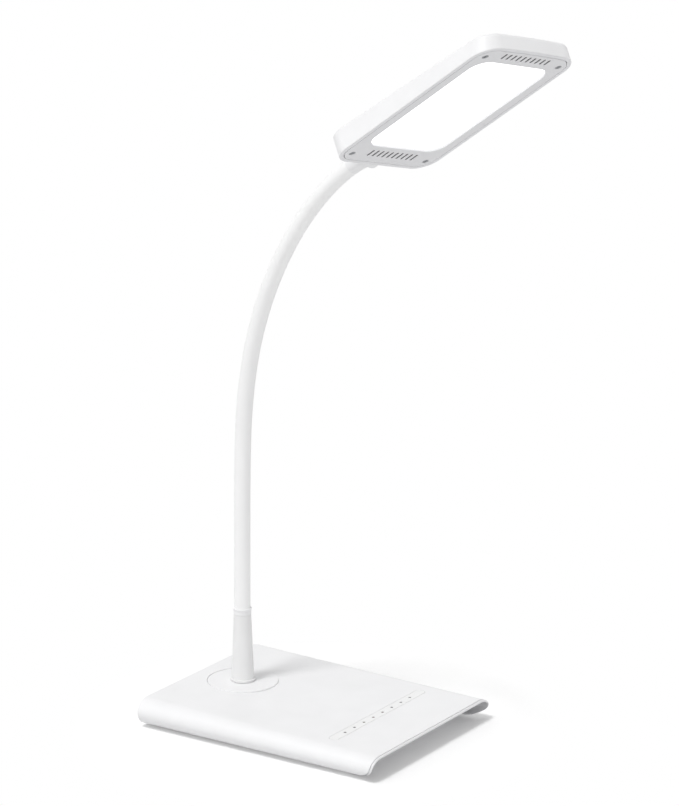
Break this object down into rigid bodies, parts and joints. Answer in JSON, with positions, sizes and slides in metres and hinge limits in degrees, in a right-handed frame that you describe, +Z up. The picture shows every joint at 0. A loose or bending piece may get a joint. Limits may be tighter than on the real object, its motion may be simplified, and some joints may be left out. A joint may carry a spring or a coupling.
{
  "type": "gooseneck desk lamp",
  "caption": "Desk lamp: a flat weighted base with a touch strip, a turning post, a flexible gooseneck and a slim rectangular light panel that swivels on the neck's end.",
  "frame": {"origin": "on the desk straight below the turning post's axis, on the underside of the rear foot strip", "axes": "+Z up along the post's axis, -Y towards the front, where the touch strip is, +X to the right seen from the front"},
  "size_m": [0.1496, 0.2837, 0.4985],
  "materials": {
    "white_shell": "white moulded plastic, satin to light gloss",
    "face_plastic": "pale grey-white moulded plastic, fine matt texture",
    "neck_sleeve": "smooth white soft sleeve, satin",
    "strip_plastic": "pale grey film strip, smooth",
    "opal_plastic": "opal white light-diffusing plastic",
    "guide_acrylic": "clear acrylic sheet with a fine dot pattern",
    "spreader_aluminium": "plain rolled sheet",
    "screw_steel": "zinc plated steel",
    "core_steel": "wound steel gooseneck core",
    "ballast_steel": "plain cut steel plate",
    "pin_brass": "plated contact pin",
    "black_plastic": "black moulded plastic",
    "foot_rubber": "soft dark grey rubber strip",
    "circuit_board": "solder-masked board"
  },
  "bodies": {
    "base": {"base_shell": "white_shell", "base_cover": "face_plastic", "cover_screw_1": "screw_steel", "cover_screw_2": "screw_steel", "cover_screw_3": "screw_steel", "cover_screw_4": "screw_steel", "ballast_plate": "ballast_steel", "control_board": "circuit_board", "indicator_bar": "opal_plastic", "touch_strip": "strip_plastic", "power_jack": "black_plastic", "jack_pin": "pin_brass", "jack_lead": "black_plastic", "foot_strip_rear": "foot_rubber", "foot_strip_front": "foot_rubber"},
    "post": {"post_disc": "white_shell", "swivel_washer": "screw_steel", "swivel_nut": "screw_steel", "post_cone": "white_shell", "collar_ring": "white_shell", "neck_sleeve_1": "neck_sleeve", "neck_core_1": "core_steel"},
    "neck_2": {"neck_sleeve_2": "neck_sleeve", "neck_core_2": "core_steel"},
    "neck_3": {"neck_sleeve_3": "neck_sleeve", "neck_core_3": "core_steel"},
    "neck_4": {"neck_sleeve_4": "neck_sleeve", "neck_core_4": "core_steel"},
    "neck_5": {"neck_sleeve_5": "neck_sleeve", "neck_core_5": "core_steel"},
    "neck_6": {"neck_sleeve_6": "neck_sleeve", "neck_core_6": "core_steel"},
    "neck_7": {"neck_sleeve_7": "neck_sleeve", "neck_core_7": "core_steel"},
    "neck_8": {"neck_sleeve_8": "neck_sleeve", "neck_core_8": "core_steel", "neck_ferrule": "white_shell", "ferrule_clip": "screw_steel"},
    "head": {"head_collar": "white_shell", "collar_nut": "screw_steel", "head_shell": "white_shell", "bezel": "face_plastic", "diffuser": "opal_plastic", "light_guide": "guide_acrylic", "reflector": "opal_plastic", "heat_spreader": "spreader_aluminium", "led_strip_left": "circuit_board", "led_strip_right": "circuit_board", "head_screw_1": "screw_steel", "head_screw_2": "screw_steel", "head_screw_3": "screw_steel", "head_screw_4": "screw_steel", "head_lead": "black_plastic"}
  },
  "joints": [
    {"name": "post_swivel", "type": "hinge", "parent": "base", "child": "post", "pos_m": [0, 0, 0.0197], "axis": [0, 0, 1], "range_deg": [-90, 90]},
    {"name": "neck_bend_1", "type": "hinge", "parent": "post", "child": "neck_2", "pos_m": [-0.00001, -0.00011, 0.09641], "axis": [0.9963, -0.0854, 0], "range_deg": [-30, 20]},
    {"name": "neck_bend_2", "type": "hinge", "parent": "neck_2", "child": "neck_3", "pos_m": [-0.00005, -0.00055, 0.14684], "axis": [0.0854, 0.9963, 0.0087], "range_deg": [-25, 25]},
    {"name": "neck_bend_3", "type": "hinge", "parent": "neck_3", "child": "neck_4", "pos_m": [-0.00016, -0.00186, 0.19725], "axis": [0.9963, -0.0854, 0], "range_deg": [-30, 20]},
    {"name": "neck_bend_4", "type": "hinge", "parent": "neck_4", "child": "neck_5", "pos_m": [-0.00067, -0.00776, 0.24728], "axis": [0.0838, 0.978, 0.1908], "range_deg": [-25, 25]},
    {"name": "neck_bend_5", "type": "hinge", "parent": "neck_5", "child": "neck_6", "pos_m": [-0.00189, -0.02201, 0.29556], "axis": [0.9963, -0.0854, 0], "range_deg": [-30, 20]},
    {"name": "neck_bend_6", "type": "hinge", "parent": "neck_6", "child": "neck_7", "pos_m": [-0.00386, -0.04498, 0.34033], "axis": [0.072, 0.8403, 0.5373], "range_deg": [-25, 25]},
    {"name": "neck_bend_7", "type": "hinge", "parent": "neck_7", "child": "neck_8", "pos_m": [-0.00656, -0.07654, 0.37944], "axis": [0.9963, -0.0854, 0], "range_deg": [-30, 15]},
    {"name": "head_swivel", "type": "hinge", "parent": "neck_8", "child": "head", "pos_m": [-0.00822, -0.09583, 0.39554], "axis": [-0.07, -0.8162, 0.5736], "range_deg": [-75, 105]}
  ]
}
